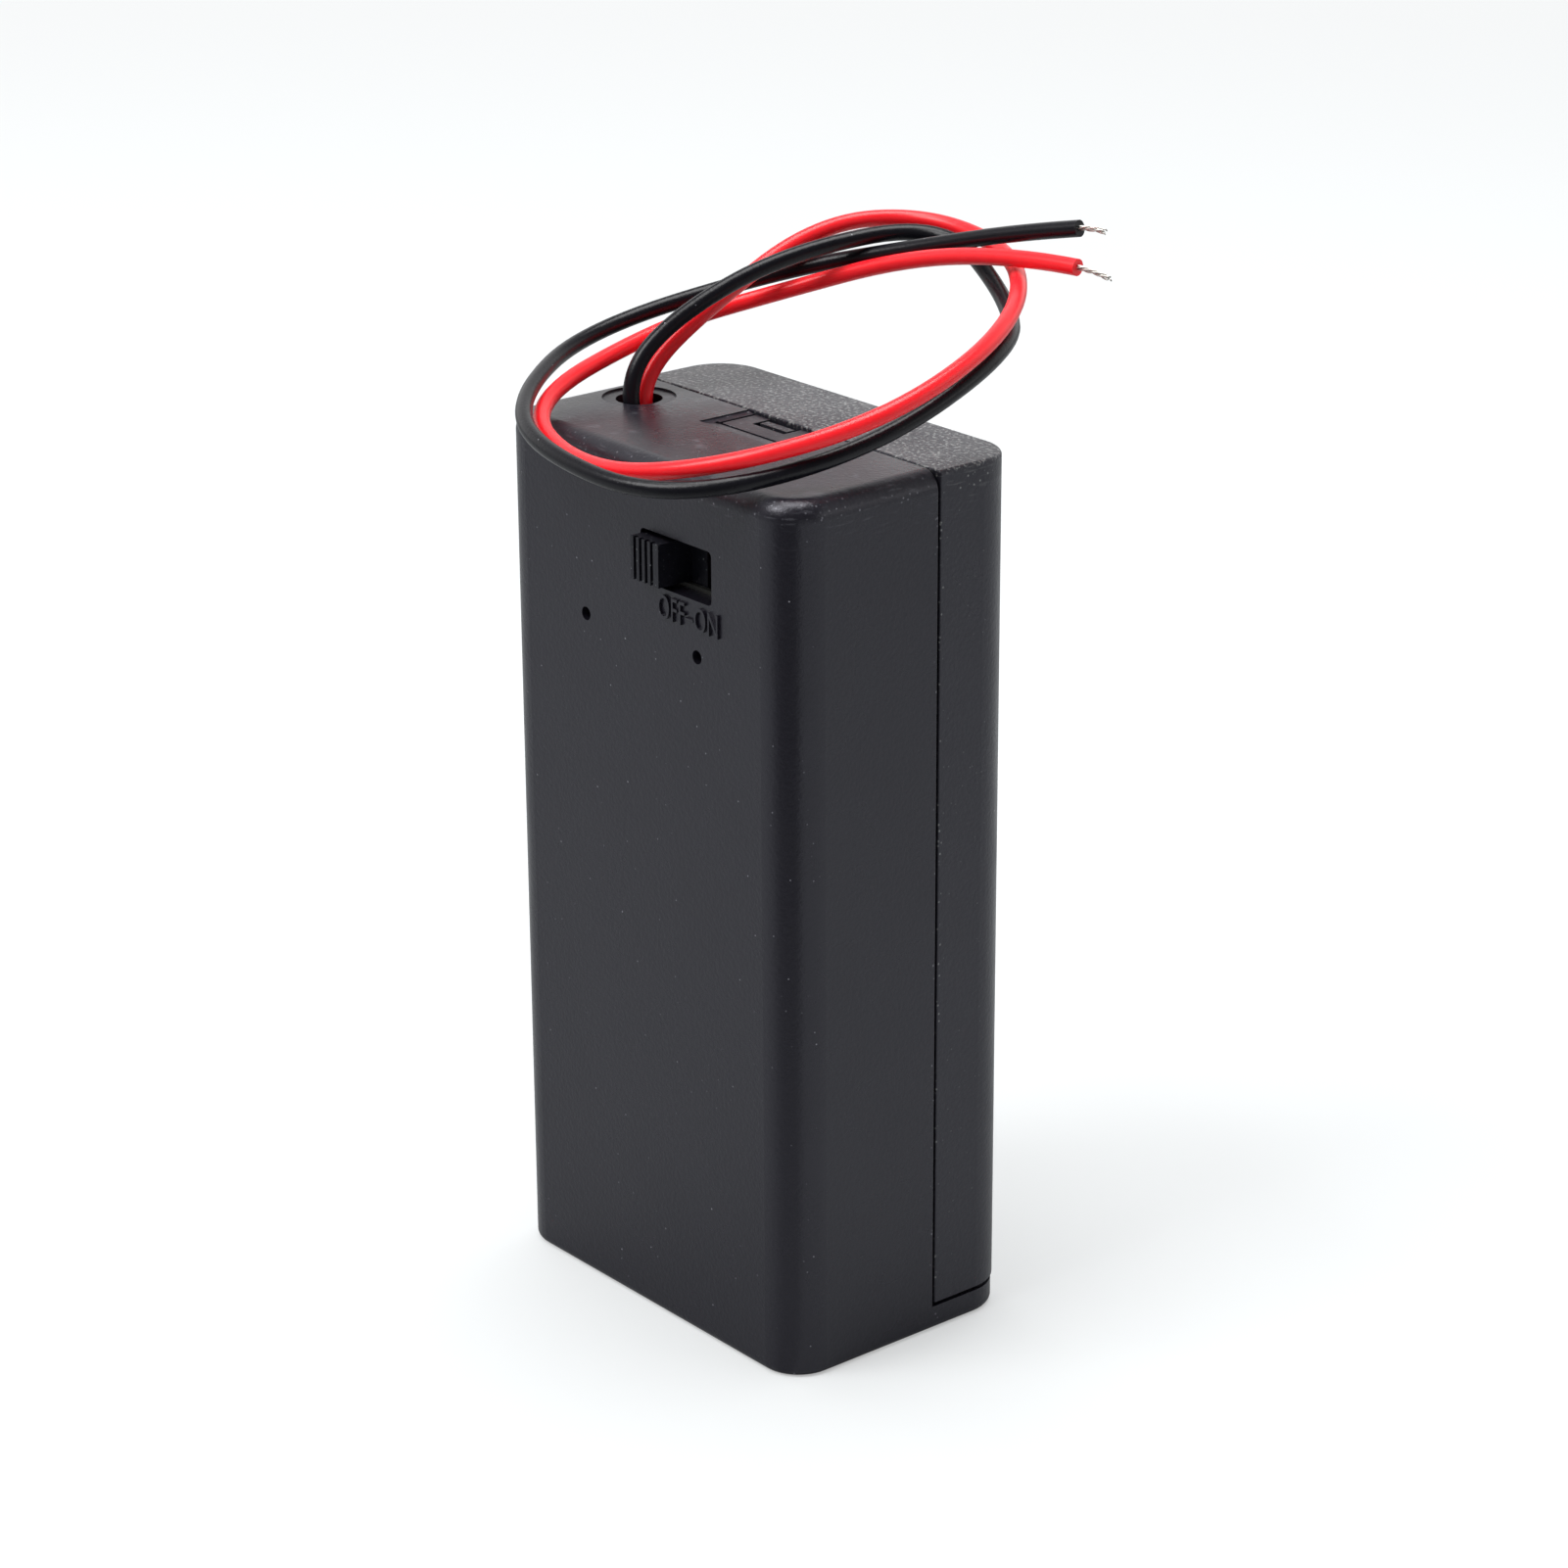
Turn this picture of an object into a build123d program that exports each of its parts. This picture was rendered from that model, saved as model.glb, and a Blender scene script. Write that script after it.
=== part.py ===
from build123d import *
import os
from math import radians, tan

# Nine volt battery holder: a closed box for one battery with a slide switch and two free leads.
# Millimetres, +Z up. The origin is the middle of the closed box's base and -Y is the switch face.

# Battery and the room round it
battery_width = 26.5
battery_depth = 17.5
battery_height = 46.4  # without its snaps
side_clearance = 0.25
depth_clearance = 0.9
height_clearance = 1.8  # between the battery's top and the snaps' lower ends

# Shells
case_depth = 14.0  # from the switch face back to the seam
side_wall = 1.5
face_wall = 1.6
back_wall = 1.5
top_wall = 2.0
floor_wall = 2.0
front_corner = 3.3
back_corner = 3.8
case_top_round = 1.5
cover_top_round = 0.35
base_round = 0.6
seam_gap = 0.18
seam_round = 0.12
lip_gap = 0.32
lip_setback = 0.3  # the cover's back stands this far behind the case's lip
wall_gap = 0.15
switch_room = 12.4  # from the snap plate up to the ceiling

# Ribs that guide the battery
guide_rib_depth = 2.2
guide_rib_width = 1.2
guide_front_setback = 3.5  # from the face wall's inside
guide_back_setback = 1.9  # in front of the seam
press_rib_depth = 0.7
press_rib_width = 1.2
press_rib_spread = 14.0
press_rib_drop = 5.0  # below the snap plate

# Snap plate
plate_thickness = 1.6
plate_clearance = 0.1
plate_rim_gap = 0.5
plate_back_gap = 0.8
stop_height = 1.0
stop_reach = 1.3
terminal_spacing = 12.7  # between the battery's two snaps
sheet = 0.3  # pressed contact metal
snap_radius = 2.86
snap_height = 2.8
petal_count = 6
petal_slot = 0.7
rivet_radius = 1.0
rivet_bore = 0.6
rivet_head = 1.75
rivet_gap = 0.05
tag_radius = 2.3
tag_width = 1.8
tag_reach = 2.9
tag_rise = 3.2

# Slide switch
switch_x = 4.3
switch_drop = 7.35  # from the box's top down to the switch's middle
knob_width = 3.25
knob_height = 3.3
knob_travel = 4.7
knob_out = 1.05  # in front of the switch face
knob_gap = 0.4  # above and below, to the window's edges
knob_side_gap = 0.15
window_corner = 0.4
groove_count = 4
groove_width = 0.33  # and the ridge before each groove
groove_depth = 0.35
slider_shoulder = 1.8  # how far the carriage reaches past the knob at each end
slider_thickness = 1.8
slider_gap = 0.1
slider_end_gap = 0.35
slot_gap = 0.1
can_height = 6.4
can_sheet = 0.4
bridge_room = 1.2  # behind the carriage, for the spring strip
base_thickness = 1.0
base_gap = 0.05
tab_width = 1.6
tab_reach = 0.8
tab_spread = 7.0
contact_pad = 1.4
blade_width = 1.2
blade_thickness = 0.4
blade_length = 3.0
bridge_sheet = 0.2
bridge_touch_gap = 0.03
collar_wall = 1.0
collar_height = 2.0
collar_gap = 0.05
clip_width = 3.0
clip_hook = 0.5
clip_thickness = 0.7

# Small holes and the top's lead hole
pin_hole_radius = 0.53
pin_hole_spacing = 13.3
pin_hole_drop = 6.35  # below the switch's middle
lead_hole_inset = 4.5  # from the box's left side
lead_hole_setback = 10.0  # from the switch face
lead_hole_radius = 1.8
spot_radius = 2.85
spot_depth = 0.16

# Latch pocket in the case's top, and the cover's catch that stands in it
pocket_width = 8.8
pocket_length = 4.8
pocket_drop = 0.24
pocket_lip = 0.1
pocket_side_run = 0.6
pocket_front_run = 1.2
score_width = 0.28
score_depth = 0.35
score_relief = 0.3
notch_width = 3.7
notch_length = 1.75
catch_gap = 0.3
catch_front_gap = 0.55
catch_length = 1.0
catch_nose = 0.25
tongue_thickness = 1.0
tongue_gap = 0.4
tongue_root = 3.5

# Cover's rims and bottom tongues
rim_thickness = 0.8
rim_reach = 0.7
rim_root = 2.0
rim_margin = 3.0
foot_spread = 16.0
foot_width = 4.8
foot_thickness = 1.1
foot_depth = 1.2
foot_gap = 0.12
foot_root = 2.2
foot_swing = 0.6  # room in front of a tongue for the cover's swing

# Leads
lead_radius = 0.65
strand_radius = 0.24
black_strand_length = 2.2
red_strand_length = 3.0
solder_extra = 0.15
solder_length = 1.3
joint_gap = 0.05

# Places worked out from the sizes above
box_width = battery_width + 2 * (side_clearance + guide_rib_depth + side_wall)
box_depth = face_wall + battery_depth + depth_clearance + press_rib_depth + back_wall
plate_level = floor_wall + battery_height + height_clearance + snap_height  # its underside
plate_top = plate_level + plate_thickness
ceiling = plate_top + switch_room
box_height = ceiling + top_wall
half_width = box_width / 2
face_y = -box_depth / 2
back_y = box_depth / 2
seam_y = face_y + case_depth
cover_front_y = seam_y + seam_gap
cover_bottom = floor_wall + lip_gap
inner_half = half_width - side_wall
inner_face_y = face_y + face_wall
inner_back_y = back_y - back_wall
lip_y = back_y - lip_setback
rim_out = inner_half - wall_gap
rim_in = rim_out - rim_thickness
foot_back_y = inner_back_y - foot_gap
foot_left = (foot_spread - foot_width) / 2
foot_right = (foot_spread + foot_width) / 2
terminal_x = terminal_spacing / 2
terminal_y = inner_face_y + (battery_depth + depth_clearance) / 2
switch_z = box_height - switch_drop
knob_x = switch_x - knob_travel / 2
window_width = knob_width + knob_travel + 2 * knob_side_gap
window_height = knob_height + 2 * knob_gap
slider_width = knob_width + 2 * slider_shoulder
can_width = slider_width + knob_travel + 2 * (slider_end_gap + can_sheet)
can_depth = can_sheet + slider_gap + slider_thickness + bridge_room + sheet + base_thickness
base_back_y = inner_face_y + can_depth
base_front_y = base_back_y - base_thickness
slider_front_y = inner_face_y + can_sheet + slider_gap
slider_back_y = slider_front_y + slider_thickness
slider_height = can_height - 2 * can_sheet - 2 * slider_gap
blade_end_y = base_back_y + blade_length
blade_places = [switch_x - knob_travel, switch_x, switch_x + knob_travel]
lead_hole_x = lead_hole_inset - half_width
lead_hole_y = face_y + lead_hole_setback
pocket_level = box_height - pocket_drop
notch_front_y = seam_y - notch_length
catch_width = notch_width - 2 * catch_gap
tongue_top = ceiling - tongue_gap


def block(x0, x1, y0, y1, z0, z1):
    """A plain block between two corners."""
    return Pos((x0 + x1) / 2, (y0 + y1) / 2, (z0 + z1) / 2) * Box(x1 - x0, y1 - y0, z1 - z0)


def both_sides(shape):
    """The shape and its mirror image across the middle plane."""
    return shape + mirror(shape, about=Plane.YZ)


def footprint(half, front, back, front_radius, back_radius):
    """A rectangle seen from above, with its own corner radius at the front and at the back."""
    outline = Pos(0, (front + back) / 2) * Rectangle(2 * half, back - front)
    outline = fillet(outline.vertices().group_by(Axis.Y)[0], front_radius)
    return fillet(outline.vertices().group_by(Axis.Y)[-1], back_radius)


def cavity(back, bottom):
    """The hollow inside the two shells, up to the ceiling."""
    hollow = footprint(
        inner_half, inner_face_y, back, front_corner - side_wall, back_corner - back_wall
    )
    return Pos(0, 0, bottom) * extrude(hollow, ceiling - bottom)


def collar():
    """The wall moulded round the switch, with a clip above and below it."""
    wide = can_width / 2 + collar_gap
    tall = can_height / 2 + collar_gap
    wall = Rectangle(2 * (wide + collar_wall), 2 * (tall + collar_wall)) - Rectangle(2 * wide, 2 * tall)
    frame = extrude(wall, collar_height)
    hook_start = can_depth + 0.05
    arm = block(
        -clip_width / 2, clip_width / 2, tall, tall + collar_wall, 0, hook_start + clip_thickness
    )
    hook = block(
        -clip_width / 2, clip_width / 2, tall - clip_hook, tall, hook_start,
        hook_start + clip_thickness,
    )
    hook = chamfer(hook.edges().filter_by(Axis.X).group_by(Axis.Z)[-1].sort_by(Axis.Y)[0], 0.4)
    clip = arm + hook
    frame = frame + clip + mirror(clip, about=Plane.XZ)
    # Local Z points from the switch face into the box
    return Plane((switch_x, inner_face_y, switch_z), x_dir=(1, 0, 0), z_dir=(0, 1, 0)) * frame


def pocket_outline(level, side_run, front_run):
    """The pocket's outline at a level, drawn in from its rim by a run at the sides and front."""
    half = pocket_width / 2 - side_run
    front = seam_y - pocket_length + front_run
    return Pos(0, (front + seam_y + 1) / 2, level) * Rectangle(2 * half, seam_y + 1 - front)


def latch_pocket():
    """What is cut from the case's top: a sloping pocket, a scored pad and the catch's notch."""
    rim = pocket_outline(box_height - pocket_lip, 0, 0)
    pocket = loft([pocket_outline(pocket_level, pocket_side_run, pocket_front_run), rim])
    pocket += extrude(rim, pocket_lip + 1)
    half = pocket_width / 2 - pocket_side_run
    front = seam_y - pocket_length + pocket_front_run
    level = pocket_level - score_depth
    score = block(-half, half, front, seam_y + 1, level, box_height) - block(
        -half + score_width, half - score_width, front + score_width, seam_y + 2, level - 1,
        box_height + 1,
    )
    relief_y = front + score_width / 2
    relief_x = half - score_width / 2
    score += both_sides(Pos(relief_x, relief_y, box_height) * Cylinder(
        score_relief, 2 * (pocket_drop + score_depth)
    ))
    notch = block(
        -notch_width / 2, notch_width / 2, notch_front_y, seam_y + 1, ceiling - 1, box_height + 1
    )
    return pocket + score + notch


def round_seam(shell, y):
    """Break the outer edges of a shell where it meets the other one, at y."""
    around = [
        edge for edge in shell.edges().filter_by_position(Axis.Y, y - 0.01, y + 0.01)
        if edge.center().Z > floor_wall + 1
    ]
    return fillet(around, seam_round)


def make_case():
    shell = extrude(
        footprint(half_width, face_y, lip_y, front_corner, back_corner - lip_setback), box_height
    )
    shell = fillet(shell.edges().group_by(Axis.Z)[-1], case_top_round)
    shell = fillet(shell.edges().group_by(Axis.Z)[0], base_round)
    shell -= block(-half_width - 1, half_width + 1, seam_y, back_y, floor_wall, box_height + 1)
    shell = round_seam(shell, seam_y)
    shell -= cavity(lip_y - back_wall, floor_wall)

    # Guide ribs stand on the floor, keep the battery off the side walls and carry the plate
    for y in (inner_face_y + guide_front_setback, seam_y - guide_back_setback):
        shell += both_sides(block(
            inner_half - guide_rib_depth, inner_half + 0.5, y - guide_rib_width / 2,
            y + guide_rib_width / 2, floor_wall - 0.5, plate_level,
        ))
        shell += both_sides(block(
            inner_half - stop_reach, inner_half + 0.5, y - guide_rib_width / 2,
            y + guide_rib_width / 2, plate_top + plate_clearance,
            plate_top + plate_clearance + stop_height,
        ))
    shell += collar()

    window = fillet(Rectangle(window_width, window_height).vertices(), window_corner)
    window = Plane((switch_x, face_y, switch_z), x_dir=(1, 0, 0), z_dir=(0, 1, 0)) * window
    shell -= extrude(window, face_wall + 0.1) + extrude(window, -1)
    for x in (-pin_hole_spacing / 2, pin_hole_spacing / 2):
        shell -= Pos(x, face_y, switch_z - pin_hole_drop) * Rot(90, 0, 0) * Cylinder(
            pin_hole_radius, 4 * face_wall
        )
    shell -= Pos(lead_hole_x, lead_hole_y, box_height) * Cylinder(lead_hole_radius, 3 * top_wall)
    shell -= Pos(lead_hole_x, lead_hole_y, box_height) * Cylinder(spot_radius, 2 * spot_depth)
    shell -= latch_pocket()

    # Pockets in the floor for the cover's two tongues
    shell -= both_sides(block(
        foot_left - foot_gap, foot_right + foot_gap, foot_back_y - foot_thickness - foot_swing,
        inner_back_y, floor_wall - foot_depth - foot_gap, floor_wall + 1,
    ))
    return shell


def make_cover():
    shell = extrude(
        footprint(half_width, face_y, back_y, front_corner, back_corner), box_height
    )
    shell = fillet(shell.edges().group_by(Axis.Z)[-1], cover_top_round)
    shell -= block(-half_width - 1, half_width + 1, face_y - 1, cover_front_y, -1, box_height + 1)
    shell -= block(-half_width - 1, half_width + 1, face_y - 1, back_y + 1, -1, cover_bottom)
    shell = round_seam(shell, cover_front_y)
    shell -= cavity(inner_back_y, 0)

    # Rims that lap inside the case's side walls
    low = cover_bottom + rim_margin
    high = ceiling - rim_margin
    root_y = cover_front_y + rim_root
    shell += both_sides(block(rim_in, rim_out, seam_y - rim_reach, root_y, low, high))
    shell += both_sides(block(rim_in, inner_half + 0.5, cover_front_y, root_y, low, high))

    # Catch: a springy tongue under the case's top, with a nose that stands in the notch
    catch_front = notch_front_y + catch_front_gap
    nose_back = catch_front + catch_length
    tongue_low = tongue_top - tongue_thickness
    tongue_back = cover_front_y + tongue_root
    shell += block(
        -catch_width / 2, catch_width / 2, cover_front_y, tongue_back, tongue_low, ceiling + 0.5
    )
    profile = Polyline(
        (tongue_back, tongue_low), (catch_front + catch_nose, tongue_low),
        (catch_front, tongue_low + catch_nose),
        (catch_front, pocket_level), (nose_back - catch_nose, pocket_level),
        (nose_back, pocket_level - catch_nose),
        (nose_back, tongue_top), (tongue_back, tongue_top), close=True,
    )
    shell += extrude(Plane.YZ * make_face(profile), catch_width / 2, both=True)

    # Tongues that stand in the floor's pockets
    foot_top = cover_bottom + foot_root
    foot = block(
        foot_left, foot_right, foot_back_y - foot_thickness, foot_back_y, floor_wall - foot_depth,
        foot_top,
    )
    foot = chamfer(foot.edges().filter_by(Axis.X).group_by(Axis.Z)[0], 0.25)
    foot += block(foot_left, foot_right, foot_back_y, inner_back_y + 0.5, cover_bottom, foot_top)
    shell += both_sides(foot)

    # Ribs that press on the battery's back
    for x in (-press_rib_spread / 2, press_rib_spread / 2):
        shell += block(
            x - press_rib_width / 2, x + press_rib_width / 2, inner_back_y - press_rib_depth,
            inner_back_y + 0.5, foot_top + 1, plate_level - press_rib_drop,
        )
    return shell


def make_snap_plate():
    """Fibre board that slides in between the guide ribs and the stops."""
    wide = inner_half - wall_gap
    narrow = rim_in - plate_rim_gap
    step_y = seam_y - rim_reach - wall_gap
    end_y = inner_back_y - plate_back_gap
    plate = block(-wide, wide, inner_face_y + wall_gap, step_y, plate_level, plate_top)
    plate += block(-narrow, narrow, step_y, end_y, plate_level, plate_top)
    front_edges = plate.edges().filter_by(Axis.Z).group_by(Axis.Y)[0]
    plate = fillet(front_edges, front_corner - side_wall)
    for x in (-terminal_x, terminal_x):
        plate -= Pos(x, terminal_y, plate_level) * Cylinder(
            rivet_radius + rivet_gap, 3 * plate_thickness
        )
    return plate


def turned(profile, x):
    """A pressed contact: its profile, radius and drop, turned about a battery snap's axis."""
    outline = make_face(Polyline(*[(r, z) for r, z in profile], close=True))
    return Pos(x, terminal_y, plate_level) * revolve(Plane.XZ * outline, Axis.Z)


def make_snap_stud():
    """Male snap: a disc riveted to the plate and a bulged barrel that enters the battery."""
    bore = rivet_radius + rivet_gap
    neck = snap_radius - 0.25
    return turned([
        (bore, 0), (neck + 0.9, 0), (neck + 0.9, -sheet), (neck, -sheet), (neck, -0.8),
        (snap_radius, -1.4), (snap_radius, 0.7 - snap_height), (snap_radius - 0.5, -snap_height),
        (snap_radius - 1.0, -snap_height), (snap_radius - 1.0, -snap_height + sheet),
        (snap_radius - 0.65, -snap_height + sheet), (snap_radius - sheet, 0.8 - snap_height),
        (snap_radius - sheet, -1.5), (neck - sheet, -0.9), (neck - sheet, -sheet), (bore, -sheet),
    ], -terminal_x)


def make_snap_socket():
    """Female snap: a disc riveted to the plate and a ring of springy petals."""
    bore = rivet_radius + rivet_gap
    grip = snap_radius + 0.04
    neck = 0.9 - snap_height
    body = turned([
        (bore, 0), (grip + 0.9, 0), (grip + 1.1, -0.5), (grip + 0.9, -1.2), (grip + sheet, neck),
        (grip + 0.7, -snap_height), (grip + 0.4, -snap_height), (grip, neck),
        (grip + 0.6, -1.1), (grip + 0.8, -0.5), (grip + 0.7, -sheet), (bore, -sheet),
    ], terminal_x)
    slot = block(
        bore + 1.4, grip + 2, -petal_slot / 2, petal_slot / 2, -snap_height - 1, -sheet - 0.1
    )
    for turn in range(petal_count):
        angle = 360 * turn / petal_count
        body -= Pos(terminal_x, terminal_y, plate_level) * Rot(0, 0, angle) * slot
    return body


def make_rivet(x):
    """Hollow rivet through a contact, the plate and a solder tag."""
    low = -2 * sheet
    high = plate_thickness + 2 * sheet
    outline = Polyline(
        (rivet_bore, low), (rivet_head, low), (rivet_head, -sheet), (rivet_radius, -sheet),
        (rivet_radius, plate_thickness + sheet), (rivet_head - 0.2, plate_thickness + sheet),
        (rivet_head - 0.2, high), (rivet_bore, high), close=True,
    )
    return Pos(x, terminal_y, plate_level) * revolve(Plane.XZ * make_face(outline), Axis.Z)


def make_tag(x, heading):
    """Solder tag: a ring under the rivet's head and a tail bent up, towards heading degrees."""
    flat = Circle(tag_radius) + Pos(tag_reach / 2) * Rectangle(tag_reach, tag_width)
    tag = extrude(flat - Circle(rivet_radius + rivet_gap), sheet)
    tag += block(tag_reach - sheet, tag_reach, -tag_width / 2, tag_width / 2, 0, tag_rise)
    tag = fillet(tag.edges().filter_by(Axis.X).group_by(Axis.Z)[-1], 0.5)
    tag = fillet(tag.edges().filter_by(Axis.Y).sort_by(Axis.Z)[0:4].sort_by(Axis.X)[-1], 0.2)
    return Pos(x, terminal_y, plate_top) * Rot(0, 0, heading) * tag


def make_switch_can():
    """Folded steel can, open at the back, with four tabs crimped over the base."""
    outer = Rectangle(can_width, can_height)
    outer = fillet(outer.vertices(), 0.5)
    inner = Rectangle(can_width - 2 * can_sheet, can_height - 2 * can_sheet)
    can = extrude(outer, can_depth) - Pos(0, 0, can_sheet) * extrude(inner, can_depth)
    opening = Rectangle(knob_width + knob_travel + 2 * slot_gap, knob_height + 2 * slot_gap)
    can -= extrude(opening, can_sheet + 0.1)
    for x in (-tab_spread / 2, tab_spread / 2):
        tab = block(
            x - tab_width / 2, x + tab_width / 2, can_height / 2 - tab_reach - can_sheet,
            can_height / 2, can_depth, can_depth + can_sheet,
        )
        tab = fillet(tab.edges().filter_by(Axis.X).group_by(Axis.Z)[-1].sort_by(Axis.Y)[-1], 0.3)
        can += tab + mirror(tab, about=Plane.XZ)
    return Plane((switch_x, inner_face_y, switch_z), x_dir=(1, 0, 0), z_dir=(0, 1, 0)) * can


def make_switch_base():
    """Insulating board in the can's mouth, with a slit for each blade."""
    half = can_width / 2 - can_sheet - base_gap
    tall = can_height / 2 - can_sheet - base_gap
    base = block(
        switch_x - half, switch_x + half, base_front_y, base_back_y, switch_z - tall, switch_z + tall
    )
    for x in blade_places:
        base -= block(
            x - blade_thickness / 2, x + blade_thickness / 2, base_front_y - 1, base_back_y + 1,
            switch_z - blade_width / 2, switch_z + blade_width / 2,
        )
    return base


def make_terminal(x):
    """A pad inside the can and a blade with an eye that carries a lead."""
    pad = block(
        x - contact_pad / 2, x + contact_pad / 2, base_front_y - sheet, base_front_y,
        switch_z - contact_pad / 2, switch_z + contact_pad / 2,
    )
    blade = block(
        x - blade_thickness / 2, x + blade_thickness / 2, base_front_y, blade_end_y,
        switch_z - blade_width / 2, switch_z + blade_width / 2,
    )
    blade = fillet(blade.edges().filter_by(Axis.X).group_by(Axis.Y)[-1], 0.45)
    eye = Pos(x, blade_end_y - 1.9, switch_z) * Rot(0, 90, 0) * Cylinder(0.32, 2)
    return pad + blade - eye


def make_slider():
    """Ribbed knob and carriage of the switch, in one moulding."""
    carriage = block(
        -slider_width / 2, slider_width / 2, slider_front_y, slider_back_y,
        -slider_height / 2, slider_height / 2,
    )
    carriage = fillet(carriage.edges().filter_by(Axis.Y), 0.3)
    knob = block(
        -knob_width / 2, knob_width / 2, face_y - knob_out, slider_front_y,
        -knob_height / 2, knob_height / 2,
    )
    for place in range(groove_count):
        left = -knob_width / 2 + groove_width * (2 * place + 1)
        knob -= block(
            left, left + groove_width, face_y - knob_out - 1, face_y - knob_out + groove_depth,
            -knob_height, knob_height,
        )
    return Pos(knob_x, 0, switch_z) * (carriage + knob)


def make_bridge():
    """Spring strip on the carriage's back that joins two neighbouring pads."""
    near = slider_back_y
    touch = base_front_y - sheet - bridge_touch_gap
    reach = knob_travel / 2
    upper = [
        (-reach - 0.7, touch - 0.45), (-reach, touch - bridge_sheet), (-reach + 0.7, touch - 0.45),
        (-0.9, near), (0.9, near), (reach - 0.7, touch - 0.45), (reach, touch - bridge_sheet),
        (reach + 0.7, touch - 0.45),
    ]
    lower = [(x, y + bridge_sheet) for x, y in reversed(upper)]
    strip = make_face(Polyline(*(upper + lower), close=True))
    return Pos(knob_x, 0, switch_z - blade_width / 2) * extrude(strip, blade_width)


def lead_line(route):
    """Straight runs joined by the largest arcs that their lengths allow, and those arcs' radii."""
    points = [Vector(*place) for place in route]
    radii = []
    for before, corner, after in zip(points, points[1:], points[2:]):
        turn = radians((corner - before).get_angle(after - corner))
        shorter = min((corner - before).length, (after - corner).length)
        radii.append(0.45 * shorter / tan(turn / 2))
    return FilletPolyline(*points, radius=radii), radii


def make_lead(name, route):
    line, radii = lead_line(route)
    section = Plane(line @ 0, z_dir=line % 0) * Circle(lead_radius)
    tube = sweep(section, path=line)
    share = tube.volume / (section.area * line.length)
    print(name, "length", round(line.length, 1), "volume share", round(share, 4))
    print(name, "radii", [round(radius, 1) for radius in radii])
    return tube


def make_strands(route, length):
    """The tinned strands that stand out of a lead's far end."""
    end = Vector(*route[-1])
    heading = (end - Vector(*route[-2])).normalized()
    return extrude(Plane(end, z_dir=heading) * Circle(strand_radius), length)


def solder(route, carrier):
    """A drop of solder between a lead's end and the metal that carries it."""
    start = Vector(*route[0])
    heading = (start - Vector(*route[1])).normalized()
    drop = extrude(Circle(lead_radius + solder_extra), solder_length)
    drop = fillet(drop.edges().group_by(Axis.Z)[-1], 0.35)
    return Plane(start, z_dir=heading) * drop - carrier


def from_hole(*offsets):
    """Points given from the middle of the lead hole's mouth."""
    return [(lead_hole_x + x, lead_hole_y + y, box_height + z) for x, y, z in offsets]


# Leads run from their solder joint inside the box to the end of their insulation
tail_middle = tag_reach - sheet / 2
tail_top = plate_top + tag_rise + joint_gap
blade_start_y = blade_end_y + joint_gap
black_route = [(-terminal_x - tail_middle, terminal_y, tail_top)] + from_hole(
    (3.3, 0.5, -8.1), (1.1, -0.5, -4.2), (-0.1, -1.3, 1.4), (0.3, 2.7, 5.5), (3.0, 11.8, 9.8),
    (8.2, 23.8, 11.4), (19.5, 20.2, 7.8), (28.9, 12.0, 7.3), (29.5, -3.0, 2.4),
    (22.3, -15.5, -0.2), (8.4, -16.3, 0.9), (0.2, -11.5, 2.2), (-7.4, 0.5, 3.6),
    (-1.1, 14.6, 7.2), (9.2, 19.7, 10.1), (18.3, 21.9, 12.6), (23.8, 23.2, 13.7),
)
red_route = [(blade_places[1], blade_start_y, switch_z)] + from_hole(
    (17.0, 3.1, -7.4), (13.4, 6.3, -8.4), (8.1, 7.3, -9.4), (3.2, 5.4, -9.0), (0.8, 2.1, -6.2),
    (-0.1, 0.3, -1.8), (-0.7, 1.4, 1.8), (0.1, 6.3, 5.6), (1.4, 16.5, 11.2), (6.4, 24.1, 11.5),
    (17.3, 23.6, 10.2), (28.8, 11.9, 8.8), (31.0, -1.9, 5.1), (23.7, -12.1, 1.8),
    (12.2, -14.8, -0.4), (-0.9, -10.5, 1.0), (-3.7, 5.3, 3.9), (-0.1, 13.8, 5.8),
    (9.9, 18.4, 9.7), (20.6, 19.8, 11.6), (26.3, 20.7, 11.6),
)
jumper_end = (blade_places[2], blade_start_y, switch_z)
jumper_route = [
    (terminal_x, terminal_y + tail_middle, tail_top),
    (terminal_x, terminal_y + tail_middle + 0.3, switch_z - 0.9),
    (blade_places[2] - 0.1, blade_start_y + 4.3, switch_z),
    jumper_end,
]

nodes = {
    "case": make_case(),
    "cover": make_cover(),
    "snap_plate": make_snap_plate(),
    "snap_stud": make_snap_stud(),
    "snap_socket": make_snap_socket(),
    "stud_rivet": make_rivet(-terminal_x),
    "socket_rivet": make_rivet(terminal_x),
    "negative_tag": make_tag(-terminal_x, 180),
    "positive_tag": make_tag(terminal_x, 90),
    "switch_can": make_switch_can(),
    "switch_base": make_switch_base(),
    "switch_slider": make_slider(),
    "switch_bridge": make_bridge(),
    "red_jumper": make_lead("red_jumper", jumper_route),
    "red_lead": make_lead("red_lead", red_route),
    "black_lead": make_lead("black_lead", black_route),
    "red_lead_strands": make_strands(red_route, red_strand_length),
    "black_lead_strands": make_strands(black_route, black_strand_length),
}
for number, x in enumerate(blade_places, 1):
    nodes[f"switch_terminal_{number}"] = make_terminal(x)
nodes["solder_joints"] = Compound(children=[
    solder(black_route, nodes["negative_tag"]),
    solder(red_route, nodes["switch_terminal_2"]),
    solder(jumper_route, nodes["positive_tag"]),
    solder(jumper_route[::-1], nodes["switch_terminal_3"]),
])

os.makedirs("parts", exist_ok=True)
for name, shape in nodes.items():
    shape.label = name
    export_step(shape, f"parts/{name}.step")
    print(name, "solids", len(shape.solids()), "volume", round(shape.volume, 2))
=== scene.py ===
import bpy
import numpy as np
from mathutils import Matrix, Vector


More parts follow.
